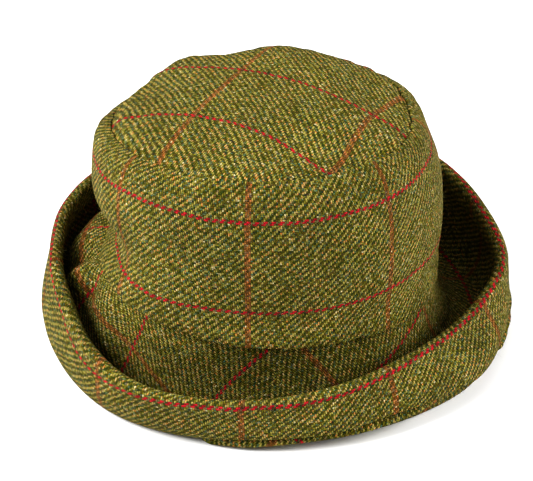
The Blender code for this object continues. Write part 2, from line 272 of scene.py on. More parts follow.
# Colours of the tweed, each a setting of its own
TWEED_COLOURS = ("Gold", "Olive", "Tan", "Orange", "Green", "Teal", "Bark", "Red", "Rust",
                 "Navy", "Cream")

# How yarns sway: the scale of each noise, and how wide its sway is, in yarns, at a looseness of 1
SWAYS = ((0.09, 1.8), (0.45, 0.4), (1.3, 0.22))
# Height of a yarn where its float begins and ends, as a share of its height in the middle
FLOAT_ENDS = 0.55

# Wool of a yarn: the scale of its noise, and the shares of the noise and of the float's draw in
# the mix. A colour takes over while the mix goes from the first value of its step to the second.
WOOL_SCALE = 1.6
WOOL_SHARE = 0.9
DRAW_SHARE = 0.55
WOOL_STEPS = (
    (0.60, 0.72, "Second"),
    (0.84, 0.90, "Third"),
    (0.95, 1.00, "Speck"),
    (0.44, 0.34, "Third"),
)
# How fast the wool's noise changes along a yarn and across it
ALONG_YARN = 0.42
ACROSS_YARN = 0.9

# How far the lines of the overcheck colour the yarns they cross
RUST_IN_WARP = 0.62
RUST_IN_WEFT = 0.3
NAVY_IN_WARP = 0.6
# Flecks: the colour of each kind, its share of the floats, and how far it covers them
FLECKS = (("Cream", 0.014), ("Navy", 0.05))
FLECK_COVER = 0.55

# Scales of the fine fuzz and of the cloudy patches
FUZZ_SCALE = 1.7
CLOUD_SCALE = 0.035
# Painted shade and light across a yarn: its brightness in the gap between two yarns and on top
# of one, the height from which it is full, and the least that its changes leave of it
SHADE = (0.36, 1.15)
SHADE_FULL = 0.9
SHADE_LEAST = 0.1
# How much the float's own draw, the fuzz and the cloudy patches change the brightness
DRAW_SWING = 0.9
FUZZ_SWING = 3.2
CLOUD_SWING = 0.8
# How far the fuzz stands up, in heights of a yarn, and the values between which it roughens
FUZZ_HEIGHT = 0.8
FUZZ_STEP = (0.3, 0.7)
ROUGHNESS = (0.86, 1.0)

# Where each soft light of the studio hangs and how wide its square is, and the floor's paper
LIGHTS = {
    "overhead": ((0.0, 0.2, 1.5), 1.2),
    "left": ((-1.1, -0.3, 1.0), 0.9),
    "right": ((1.2, -0.28, 0.8), 0.9),
}
PAPER = (0.9, 0.9, 0.9, 1.0)
PAPER_ROUGHNESS = 0.9


def columns(names, rows):
    """The table's columns by name."""
    return dict(zip(names, np.array(rows, dtype=float).T))


CROWN = columns(CROWN_COLUMNS, CROWN_ROWS)
BRIM = columns(BRIM_COLUMNS, BRIM_ROWS)
DENTS = columns(DENT_COLUMNS, DENT_ROWS)
FOLDS = columns(FOLD_COLUMNS, FOLD_ROWS)
HOLLOWS = columns(DOME_COLUMNS, DOME_ROWS)
WAVES = columns(WAVE_COLUMNS, WAVE_ROWS)
SEAMS = columns(SEAM_COLUMNS, SEAM_ROWS)
PUCKERS = columns(PUCKER_COLUMNS, PUCKER_ROWS)


def smooth_through(knots, values, at):
    """Cubic curve through the knots, whose slope at each knot is that of its neighbours."""
    slopes = np.gradient(values, knots)
    left = np.clip(np.searchsorted(knots, at, side="right") - 1, 0, len(knots) - 2)
    width = knots[left + 1] - knots[left]
    t = (at - knots[left]) / width
    ends = values[left] * (1 + 2 * t) * (1 - t) ** 2 + values[left + 1] * t * t * (3 - 2 * t)
    bends = slopes[left] * t * (1 - t) ** 2 - slopes[left + 1] * t * t * (1 - t)
    return ends + width * bends


def around(name, bearing, table=BRIM):
    """A column of a table by bearing at any bearing, closed on itself."""
    knots = table["bearing"]
    knots = np.concatenate((knots - FULL_TURN, knots, knots + FULL_TURN))
    return smooth_through(knots, np.tile(table[name], 3), np.mod(bearing, FULL_TURN))


def bearing_away(bearing, other):
    """Angle between two bearings, in degrees, from -180 to 180."""
    return np.mod(bearing - other + FULL_TURN / 2, FULL_TURN) - FULL_TURN / 2


def places(reach, height):
    """Reaches and heights as one array of places."""
    return np.stack(np.broadcast_arrays(reach, height), axis=-1)


def bezier(start, first, second, end, t):
    """Cubic curve from start to end, pulled towards the two handles."""
    t = t[..., None]
    blend = start * (1 - t) ** 3 + 3 * first * t * (1 - t) ** 2
    return blend + 3 * second * t * t * (1 - t) + end * t ** 3


def offset(grid, distance):
    """Each profile moved to its own left by the distance, mitred at its corners.

    At a corner the step is (a + b) / (1 + a.b), with a and b the left-hand normals of the sides
    before and after, so the moved sides stay parallel to the old ones.
    """
    sides = np.diff(grid, axis=1)
    sides /= np.linalg.norm(sides, axis=-1, keepdims=True)
    left = np.stack((-sides[..., 1], sides[..., 0]), axis=-1)
    before = np.concatenate((left[:, :1], left), axis=1)
    after = np.concatenate((left, left[:, -1:]), axis=1)
    facing = np.sum(before * after, axis=-1, keepdims=True)
    return grid + np.asarray(distance)[..., None] * (before + after) / (1 + facing)


def fade(t):
    """Smooth step from 0 to 1 while t goes from 0 to 1."""
    t = np.clip(t, 0, 1)
    return t * t * (3 - 2 * t)


def rows_between(start, end, count, bearing):
    """Even steps from start to end, one row of values for each bearing."""
    steps = np.linspace(0, 1, count + 1)[None, :]
    return start + (end - start) * steps + np.zeros_like(bearing)


def waves(bearing, along):
    """Sum of cosine waves, each with its own number of turns round and rises along the cloth."""
    turned = np.radians(bearing)
    total = np.zeros(np.broadcast(bearing, along).shape)
    for turns, turn_phase, rises, rise_phase, height in zip(*WAVES.values()):
        total += height * np.cos(turns * turned + turn_phase + rises * along) * np.cos(
            np.pi * rises * along + rise_phase)
    return total


def run_along(grid):
    """Length along each profile from its first place."""
    steps = np.linalg.norm(np.diff(grid, axis=1), axis=-1)
    return np.concatenate((np.zeros_like(grid[:, :1, 0]), np.cumsum(steps, axis=1)), axis=1)


class HatForm:
    """Profiles of the hat at every bearing. Bearings run once round from the back seam.

    Sole_level is the height of the brim's line on the table, and brim_depth is how far inside
    the crown's outer face the line lies in the tuck.
    """

    def __init__(self, size):
        self.size = size
        self.bearing = BACK + np.linspace(0, FULL_TURN, size.bearings + 1)[:, None]
        self.layer = size.cloth + size.layer_gap
        self.cuff_side = LAYERS_OUT * self.layer
        self.sole_level = size.cloth / 2 + self.layer / 2
        self.brim_depth = size.cloth / 2 + LAYERS_OUT * self.layer
        rim = self.turned_out(offset(self.cuff_grid(), -size.cloth / 2))
        right, back = rim[..., 0], rim[..., 1]
        self.centre = ((right.min() + right.max()) / 2, (back.min() + back.max()) / 2)

    def turned_out(self, grid):
        """Profiles in their places round the axis: (r cos b, r sin b, height) at bearing b."""
        turned = np.radians(self.bearing)
        return np.stack((grid[..., 0] * np.cos(turned), grid[..., 0] * np.sin(turned),
                         grid[..., 1]), axis=-1)

    def crown_face(self, share):
        """Outer face of the crown: an oval at each height, shifted, dented and uneven.

        The oval's reach is a b / hypot(b cos, a sin), with a and b its half width and depth. Each
        dent takes away a Gauss bell of the bearing and the share.
        """
        size, bearing = self.size, self.bearing
        turned = np.radians(bearing)
        half_width = smooth_through(CROWN["share"], CROWN["width"], share)
        half_width = half_width * size.crown_width / 2
        half_depth = smooth_through(CROWN["share"], CROWN["depth"], share)
        half_depth = half_depth * size.crown_depth / 2
        shift = smooth_through(CROWN["share"], CROWN["shift"], share) * size.crown_width
        oval = half_width * half_depth
        oval = oval / np.hypot(half_depth * np.cos(turned), half_width * np.sin(turned))
        reach = oval + shift * np.cos(turned)
        for at, up, depth, wide, tall in zip(*DENTS.values()):
            away = (bearing_away(bearing, at) / wide) ** 2 + ((share - up) / tall) ** 2
            reach = reach - depth * size.crown_width * np.exp(-away)
        inside = fade(share / FOLD_FADE) * fade((1 - share) / FOLD_FADE)
        reach = reach + size.wobble * waves(bearing, share) * inside
        low = around("seam", bearing) * size.seam_rise
        high = size.seam_rise + around("tip", bearing) * size.band_rise
        return places(reach, low + (high - low) * share)

    def crown_grid(self):
        """The crown's outer face, with finer rows in the tucks at both seams."""
        size, bearing = self.size, self.bearing
        tuck = size.seam_tuck / size.band_rise
        parts = (rows_between(0, tuck, ROWS["tuck"], bearing)[:, :-1],
                 rows_between(tuck, 1 - tuck, ROWS["band"], bearing)[:, :-1],
                 rows_between(1 - tuck, 1, ROWS["tuck"], bearing))
        return self.crown_face(np.concatenate(parts, axis=1))

    def puckers(self, away):
        """Gathers that die out with the distance from a seam, as exp(-distance / length)."""
        turned = np.radians(self.bearing)
        total = sum(height * np.cos(turns * turned + phase)
                    for turns, phase, height in zip(*PUCKERS.values()))
        return self.size.pucker * total * np.exp(-away / PUCKER_LENGTH)

    def band_grid(self):
        """Middle of the side band's cloth, with its lip over the brim and its upper shoulder.

        The lip is a Gauss bell of the distance from the lower edge. The shoulder leans in with
        the square of how near the upper edge is.
        """
        size = self.size
        grid = offset(self.crown_grid(), size.cloth / 2)
        up = run_along(grid)
        down = up[:, -1:] - up
        shelf = around("shelf", self.bearing)
        lip = size.lip * (1 - shelf) * np.exp(-(up / LIP_LENGTH) ** 2)
        deep = around("deep", self.bearing, SEAMS)
        lean = size.shoulder * deep * np.clip(1 - down / SHOULDER_LENGTH, 0, 1) ** 2
        gathers = self.puckers(up) + self.puckers(down)
        return grid + places(lip - lean + gathers, -LIP_HANG * lip)

    def tip_grid(self):
        """The dome from its middle to the tip seam, then the edge turned down in the band.

        At the share s of the way out the dome stands above its seam by its rise times
        1 - s^flatness, and each hollow adds a Gauss bell of the place seen from above. The cloth
        puffs up beside the seam by 1 - (1 - d / length)^2 at the distance d from it, times s^2.
        """
        size, bearing = self.size, self.bearing
        tuck = offset(self.band_grid(), self.layer)
        out = rows_between(0, 1, ROWS["dome"], bearing)
        edge = tuck[:, -1:]
        reach = edge[..., 0] * out
        right = reach * np.cos(np.radians(bearing)) / (size.crown_width / 2)
        back = reach * np.sin(np.radians(bearing)) / (size.crown_depth / 2)
        level = size.seam_rise + np.mean(BRIM["tip"]) * size.band_rise
        height = level + (edge[..., 1] - level) * out ** 2
        height = height + size.dome_rise * (1 - out ** DOME_FLATNESS)
        for x, y, rise, wide in zip(*HOLLOWS.values()):
            away = ((right - x) ** 2 + (back - y) ** 2) / wide ** 2
            height = height + rise * size.dome_rise * np.exp(-away) * (1 - out ** HOLLOW_FADE)
        height = height + size.wobble * waves(bearing, out) * out * (1 - out ** HOLLOW_FADE)
        inward = edge[..., 0] * (1 - out)
        puffed = 1 - np.clip(1 - inward / PUFF_LENGTH, 0, 1) ** 2
        swell = around("swell", bearing, SEAMS)
        height = height + size.puff * swell * puffed * out ** 2
        height = height + self.puckers(inward) * puffed
        turned_down = tuck[:, -1 - ROWS["tuck"]:-1][:, ::-1]
        return np.concatenate((places(reach, height), turned_down), axis=1)

    def brim_corners(self, seam):
        """Places that the brim's line passes: inner and outer edge of the sole, belly and rim."""
        size, bearing = self.size, self.bearing
        reach = seam[..., 0]
        sole = reach + around("sole", bearing) * size.brim_reach
        inner = places(sole - size.sole_width / 2, self.sole_level)
        outer = places(sole + size.sole_width / 2, self.sole_level)
        belly = places(reach + around("belly", bearing) * size.brim_reach,
                       around("belly_up", bearing) * size.turn_up)
        rim = places(reach + around("rim", bearing) * size.brim_reach,
                     around("rim_up", bearing) * size.turn_up - self.cuff_side - size.cloth / 2)
        return inner, outer, belly, rim

    def brim_line(self, seam, along):
        """Line between the brim's two layers, below the head seam and before its folds.

        Its places run from 0 at the seam to 1 down the skirt, to 2 across the sole, and by the
        belly to 3 at the rim. The sole is straight, and the other stretches are cubic curves.
        """
        inner, outer, belly, rim = self.brim_corners(seam)
        run = inner - seam
        shelf = around("shelf", self.bearing)[..., None]
        start = SKIRT_START + shelf * np.subtract(SHELF_START, SKIRT_START)
        end = SKIRT_END + shelf * np.subtract(SHELF_END, SKIRT_END)
        skirt = bezier(seam, seam + run * start, inner - run * end, inner, along)
        across = inner + (outer - inner) * (along - 1)[..., None]
        swing = belly - outer
        turn = bezier(outer, outer + swing * TURN_START, belly - swing * TURN_END, belly,
                      2 * (along - 2))
        lean = rim - belly
        stand = bezier(belly, belly + lean * STAND_START, rim - lean * STAND_END, rim,
                       2 * (along - BELLY_ALONG))
        stretches = [(along <= last)[..., None] for last in (1, 2, BELLY_ALONG)]
        return np.select(stretches, (skirt, across, turn), default=stand)

    def rows_along_brim(self, seam, start, end, count):
        """Rows of the brim's line from start to end, the same length apart at each bearing."""
        fine = rows_between(start, end, count * FINER, self.bearing)
        run = run_along(self.brim_line(seam, fine))
        even = run[:, -1:] * np.linspace(0, 1, count + 1)
        return np.stack([np.interp(wanted, length, place)
                         for wanted, length, place in zip(even, run, fine)])

    def fold_lift(self, along):
        """How far the folds and the cloth's unevenness push the brim out of its plain line.

        Each fold adds a Gauss bell of the bearing and of the place along the skirt.
        """
        size, bearing = self.size, self.bearing
        lift = np.zeros(along.shape)
        for at, where, height, wide, long in zip(*FOLDS.values()):
            away = (bearing_away(bearing, at) / wide) ** 2 + ((along - where) / long) ** 2
            lift = lift + height * size.brim_reach * np.exp(-away)
        uneven = size.wobble * waves(bearing, along)
        skirt = fade(along / FOLD_FADE) * fade((1 - along) / FOLD_FADE)
        stand = fade((along - WOBBLE_FROM) / FOLD_FADE)
        return np.where(along < 1, (lift + uneven) * skirt, uneven * stand)

    def brim_grid(self):
        """Line between the brim's layers: tuck inside the band, skirt, sole and stand.

        The tuck is the crown's face moved in, and the line below it has rows at the cuff's edge
        and at its lap's, so that the layers there can share their rows.
        """
        size, bearing = self.size, self.bearing
        tuck = offset(self.crown_grid(), self.brim_depth)[:, ROWS["tuck"]::-1]
        down = tuck[:, -1:] - tuck[:, -2:-1]
        down = down / np.linalg.norm(down, axis=-1, keepdims=True)
        drop = self.layer + around("shelf", bearing)[..., None] * SHELF_DROP
        seam = tuck[:, -1:] + down * drop
        belly, rim = self.brim_corners(seam)[2:]
        cuff_edge = 2 + around("cuff", bearing)
        lap_edge = 3 - size.cuff_lap / 2 / np.linalg.norm(rim - belly, axis=-1)
        parts = (self.rows_along_brim(seam, 0, 1, ROWS["skirt"]),
                 self.rows_along_brim(seam, 1, 2, ROWS["sole"]),
                 self.rows_along_brim(seam, 2, cuff_edge, ROWS["turn"]),
                 self.rows_along_brim(seam, cuff_edge, lap_edge, ROWS["stand"]),
                 self.rows_along_brim(seam, lap_edge, 3, ROWS["lap"]))
        along = np.concatenate([part[:, :-1] for part in parts[:-1]] + [parts[-1]], axis=1)
        line = offset(self.brim_line(seam, along), self.fold_lift(along))
        return np.concatenate((tuck[:, :-1], line), axis=1)

    def upper_grid(self):
        """Middle of the brim's top layer."""
        return offset(self.brim_grid(), self.layer / 2)

    def under_grid(self):
        """Middle of the brim's bottom layer, from the head seam to the rim.

        It rolls out in a Gauss bell of the length below the cuff's lower edge, with a groove
        between them, and stays plain where the cuff comes near the sole.
        """
        brim = self.brim_grid()
        run = run_along(brim)
        sole_end = ROWS["tuck"] + ROWS["skirt"] + ROWS["sole"]
        edge = run[:, sole_end + ROWS["turn"], None]
        near = (edge - run - HEM_BELOW) / HEM_WIDE
        least, full = HEM_ROOM
        room = fade((edge - run[:, sole_end, None] - least) / (full - least))
        roll = self.size.hem_roll * np.exp(-near ** 2) * room
        return offset(brim, -self.layer / 2 - roll)[:, ROWS["tuck"]:]

    def cuff_grid(self):
        """Middle of the cuff's cloth: up outside the rim, over its crest and down to the lap.

        The lower edge stands off the brim by a Gauss bell of the distance from it, but not
        where it comes near the sole. The crest is a half circle, rim plus arm cos t plus ahead
        sin t, and the lap takes the brim's last rows backwards.
        """
        brim = self.brim_grid()[:, -ROWS["stand"] - ROWS["lap"] - 1:]
        flare = self.size.flare * fade(around("cuff", self.bearing) / FLARE_FROM)
        flare = flare * np.exp(-(run_along(brim) / FLARE_LENGTH) ** 2)
        outer = offset(brim, -self.cuff_side - flare)
        inner = offset(brim, self.cuff_side)[:, :-ROWS["lap"] - 2:-1]
        rim = brim[:, -1:]
        arm = outer[:, -1:] - rim
        ahead = np.stack((-arm[..., 1], arm[..., 0]), axis=-1)
        turn = np.linspace(0, np.pi, ROWS["crest"] + 1)[None, 1:-1, None]
        crest = rim + arm * np.cos(turn) + ahead * np.sin(turn)
        return np.concatenate((outer, crest, inner), axis=1)


def yarns_round(form, grid, level, girth):
    """Yarn counts of a piece whose weft runs round the hat: u round, v along the profile.

    V is counted from the level, a length along each profile, and girth is the reach that sets
    how many yarns go round.
    """
    run = run_along(grid)
    u = np.radians(form.bearing - FRONT) * girth + np.zeros_like(run)
    return np.stack((u, run - level), axis=-1) / form.size.yarn


def level_run(grid, height):
    """Length along each profile at which it crosses a height."""
    run = run_along(grid)
    return np.array([np.interp(height, profile[:, 1], along)
                     for profile, along in zip(grid, run)])[:, None]


def yarns_in_plan(form, grid):
    """Yarn counts of a piece seen from above, to the right and to the back.

    Where it is eased into its seam the cloth is drawn to the front, by a Gauss bell.
    """
    plan = form.turned_out(grid)[..., :2]
    near = np.sum((plan - EASE_AT) ** 2, axis=-1) / EASE_WIDE ** 2
    plan[..., 1] += EASE * np.exp(-near)
    return plan / form.size.yarn


def yarns_of_brim(form, grid, row):
    """Yarn counts of the brim laid flat: a ring whose bearings spread less than round the hat.

    A place is as far from the ring's centre as its run from the head seam and the seam's own
    flat radius, which is the seam's mean reach over the spread.
    """
    run = run_along(grid)
    radius = run - run[:, row:row + 1] + np.mean(grid[:, row, 0]) / BRIM_SPREAD
    spread = np.radians(form.bearing - FRONT) * BRIM_SPREAD
    flat = np.stack((radius * np.sin(spread), -radius * np.cos(spread)), axis=-1)
    return flat / form.size.yarn


def lay_on_cloth(name, flat):
    """Turn, mirror and move a piece's flat places to where it was cut from the cloth."""
    lay = dict(zip(LAY_COLUMNS, LAY_ROWS[name]))
    turn = np.radians(lay["turn"])
    weft = flat[..., 0] * np.cos(turn) + flat[..., 1] * np.sin(turn)
    warp = flat[..., 1] * np.cos(turn) - flat[..., 0] * np.sin(turn)
    return np.stack((lay["weft_count"] * weft + lay["along_weft"],
                     lay["hand"] * lay["warp_count"] * warp + lay["along_warp"]), axis=-1)


def round_cloth(middle, thickness, flat, cap_rows, from_pole):
    """Closed profiles round a sheet: its left side, a half circle over its end, and back.

    The sides are the middle moved by half the thickness each way. A cap point is the end's
    middle plus arm cos t plus ahead sin t, for t from 0 to a half turn, and a whole cap has the
    flat place of its end. A sheet that starts at the axis has no first cap.
    """
    left = offset(middle, thickness / 2)
    right = offset(middle, -thickness / 2)
    turn = np.linspace(0, np.pi, cap_rows + 2)[None, 1:-1, None]

    def cap(index, arm):
        ahead = np.stack((arm[..., 1], -arm[..., 0]), axis=-1)
        return middle[:, index] + arm * np.cos(turn) + ahead * np.sin(turn)

    end = cap([-1], (left - middle)[:, -1:])
    end_flat = np.repeat(flat[:, -1:], cap_rows, axis=1)
    points = [left, end, right[:, ::-1]]
    flats = [flat, end_flat, flat[:, ::-1]]
    if not from_pole:
        points.append(cap([0], (right - middle)[:, :1]))
        flats.append(np.repeat(flat[:, :1], cap_rows, axis=1))
    return np.concatenate(points, axis=1), np.concatenate(flats, axis=1)


def mesh_of(name, points, corners, sizes):
    """Mesh of the points. The faces' corners stand in one row, and sizes says how many each has."""
    mesh = bpy.data.meshes.new(name)
    mesh.vertices.add(len(points))
    mesh.loops.add(len(corners))
    mesh.polygons.add(len(sizes))
    mesh.vertices.foreach_set("co", points.astype(np.float32).ravel())
    mesh.loops.foreach_set("vertex_index", corners.astype(np.int32))
    starts = np.concatenate(([0], np.cumsum(sizes)[:-1]))
    mesh.polygons.foreach_set("loop_start", starts.astype(np.int32))
    mesh.update(calc_edges=True)
    return mesh


def cloth_mesh(name, form, profiles, flats, from_pole):
    """Mesh of closed profiles turned round the axis, with the UV map "yarns".

    The hat's outline is centred over the table's origin. The first and last bearings share
    their vertices, and so do the first and last rows, or each of them is one vertex on the axis.
    """
    solid = form.turned_out(profiles)
    count, rows = form.size.bearings, profiles.shape[1]
    index = np.arange(count * rows).reshape(count, rows)
    index = np.concatenate((index, index[:1]))
    if from_pole:
        index[:, 0] = index[0, 0]
        index[:, -1] = index[0, -1]
        corners_on, row_ends = index, flats
    else:
        corners_on = np.concatenate((index, index[:, :1]), axis=1)
        row_ends = np.concatenate((flats, flats[:, :1]), axis=1)

    def corners(values):
        grid = (values[:-1, :-1], values[:-1, 1:], values[1:, 1:], values[1:, :-1])
        return np.stack(grid, axis=2).reshape(-1, 4, *values.shape[2:])

    quads, quad_flats = corners(corners_on), corners(row_ends)
    start_fan = quads[:, 0] == quads[:, 3]
    end_fan = quads[:, 1] == quads[:, 2]
    sizes = np.where(start_fan | end_fan, 3, 4)
    keep = np.ones(quads.shape, dtype=bool)
    keep[start_fan, 3] = False
    keep[end_fan, 2] = False
    used, vertex_of = np.unique(quads[keep], return_inverse=True)
    centre = np.array((*form.centre, 0.0))
    placed = solid[:-1].reshape(-1, 3)[used] - centre
    mesh = mesh_of(name, placed, vertex_of.ravel(), sizes)
    mesh.polygons.foreach_set("use_smooth", np.ones(len(sizes), dtype=bool))
    yarns = mesh.uv_layers.new(name="yarns")
    yarns.data.foreach_set("uv", quad_flats[keep].astype(np.float32).ravel())
    mesh.validate()
    return mesh


class Patch:
    """Adds nodes to a tree, each fed in one line by sockets or by plain values."""

    def __init__(self, tree):
        self.tree = tree

    def feed(self, socket, value):
        """Link the socket to another one, or give it a plain value."""
        if isinstance(value, bpy.types.NodeSocket):
            self.tree.links.new(value, socket)
        elif value is not None:
            socket.default_value = value

    def add(self, kind, *values, **settings):
        """Add a node with its settings, its sockets fed in their order."""
        node = self.tree.nodes.new(kind)
        for name, value in settings.items():
            setattr(node, name, value)
        for socket, value in zip(node.inputs, values):
            self.feed(socket, value)
        return node

    def add_named(self, kind, inputs, **settings):
        """Add a node with its settings, its sockets fed by name, and return its outputs."""
        node = self.add(kind, **settings)
        for name, value in inputs.items():
            self.feed(node.inputs[name], value)
        return node.outputs

    def math(self, operation, *values):
        return self.add("ShaderNodeMath", *values, operation=operation).outputs[0]

    def vector(self, operation, *values):
        return self.add("ShaderNodeVectorMath", *values, operation=operation).outputs[0]

    def steps(self, value, low, high, start=0.0, end=1.0):
        """Smooth step of a value: start up to low, end from high on."""
        node = self.add("ShaderNodeMapRange", value, low, high, start, end,
                        interpolation_type="SMOOTHSTEP")
        return node.outputs[0]

    def noise(self, place, scale, detail=2.0, roughness=0.5, output="Fac"):
        """Noise of the place, as one value or, by its output "Color", as three."""
        inputs = {"Vector": place, "Scale": scale, "Detail": detail, "Roughness": roughness}
        return self.add_named("ShaderNodeTexNoise", inputs, noise_dimensions="3D")[output]

    def blend(self, share, first, second, how="MIX"):
        """The first colour, with the share of it that gives way to the second."""
        node = self.add("ShaderNodeMix", data_type="RGBA", blend_type=how)
        colours = [socket for socket in node.inputs if socket.type == "RGBA"]
        self.feed(node.inputs["Factor"], share)
        self.feed(colours[0], first)
        self.feed(colours[1], second)
        return [socket for socket in node.outputs if socket.type == "RGBA"][0]


def new_group(name, inputs, outputs):
    """A shader node group with named sockets, its patch, what it is given and what it puts out."""
    group = bpy.data.node_groups.new(name, "ShaderNodeTree")
    for way, sockets in (("INPUT", inputs), ("OUTPUT", outputs)):
        for label, kind in sockets:
            group.interface.new_socket(label, in_out=way, socket_type="NodeSocket" + kind)
    patch = Patch(group)
    return group, patch, patch.add("NodeGroupInput").outputs, patch.add("NodeGroupOutput").inputs


def twill_group():
    """Two-and-two twill: which yarn is on top at a place, and how high it stands.

    Noises of several scales make the yarns sway. Warp number i and weft number j are the whole
    parts of the place. The warp is on top where (i - j) mod 4 is 0 or 1. A yarn is round across,
    1 - (2x - 1)^2, and each float bulges over its two crossings, 1 - (q - 1)^2 with q from 0 to
    2 along the float.
    """
    group, patch, given, put = new_group(
        "twill", (("Yarns", "Vector"), ("Looseness", "Float")),
        (("Place", "Vector"), ("Warp On Top", "Float"), ("Warp Number", "Float"),
         ("Weft Number", "Float"), ("Height", "Float")))
    place = given["Yarns"]
    for scale, reach in SWAYS:
        sway = patch.noise(given["Yarns"], scale, detail=1.0, output="Color")
        centred = patch.vector("SUBTRACT", sway, (0.5, 0.5, 0.5))
        reach = patch.math("MULTIPLY", given["Looseness"], reach)
        moved = patch.add("ShaderNodeVectorMath", centred, operation="SCALE")
        patch.feed(moved.inputs["Scale"], reach)
        place = patch.vector("ADD", place, moved.outputs[0])
    axes = patch.add("ShaderNodeSeparateXYZ", place).outputs
    warp, weft = patch.math("FLOOR", axes[0]), patch.math("FLOOR", axes[1])
    in_warp, in_weft = patch.math("FRACT", axes[0]), patch.math("FRACT", axes[1])
    step = patch.math("FLOORED_MODULO", patch.math("SUBTRACT", warp, weft), 4.0)
    on_top = patch.math("LESS_THAN", step, 1.5)

    def round_top(value):
        swing = patch.math("MULTIPLY_ADD", value, 2.0, -1.0)
        return patch.math("SUBTRACT", 1.0, patch.math("MULTIPLY", swing, swing))

    def bulge(first):
        swing = patch.math("SUBTRACT", first, 1.0)
        hump = patch.math("SUBTRACT", 1.0, patch.math("MULTIPLY", swing, swing))
        return patch.math("MULTIPLY_ADD", hump, 1 - FLOAT_ENDS, FLOAT_ENDS)

    warp_float = patch.math("ADD", patch.math("SUBTRACT", 1.0, step), in_weft)
    weft_float = patch.math("ADD", patch.math("SUBTRACT", step, 2.0), in_warp)
    warp_height = patch.math("MULTIPLY", round_top(in_warp), bulge(warp_float))
    weft_height = patch.math("MULTIPLY", round_top(in_weft), bulge(weft_float))
    height = patch.add("ShaderNodeMix", on_top, None, weft_height, warp_height,
                       data_type="FLOAT").outputs[0]
    for label, value in (("Place", place), ("Warp On Top", on_top), ("Warp Number", warp),
                         ("Weft Number", weft), ("Height", height)):
        patch.feed(put[label], value)
    return group


def melange_group():
    """Wool of one yarn, mixed of four colours.

    The mix is a share of a noise along the yarn plus a share of the float's own draw from 0 to
    1, so most floats have a colour of their own and change a little on their way.
    """
    group, patch, given, put = new_group(
        "melange", (("Along", "Vector"), ("Draw", "Float"), ("Main", "Color"),
                    ("Second", "Color"), ("Third", "Color"), ("Speck", "Color")),
        (("Color", "Color"),))
    wool = patch.noise(given["Along"], WOOL_SCALE, detail=3.0, roughness=0.65)
    mixed = patch.math("ADD", patch.math("MULTIPLY", wool, WOOL_SHARE),
                       patch.math("MULTIPLY", given["Draw"], DRAW_SHARE))
    colour = given["Main"]
    for first, last, name in WOOL_STEPS:
        colour = patch.blend(patch.steps(mixed, first, last), colour, given[name])
    patch.feed(put["Color"], colour)
    return group


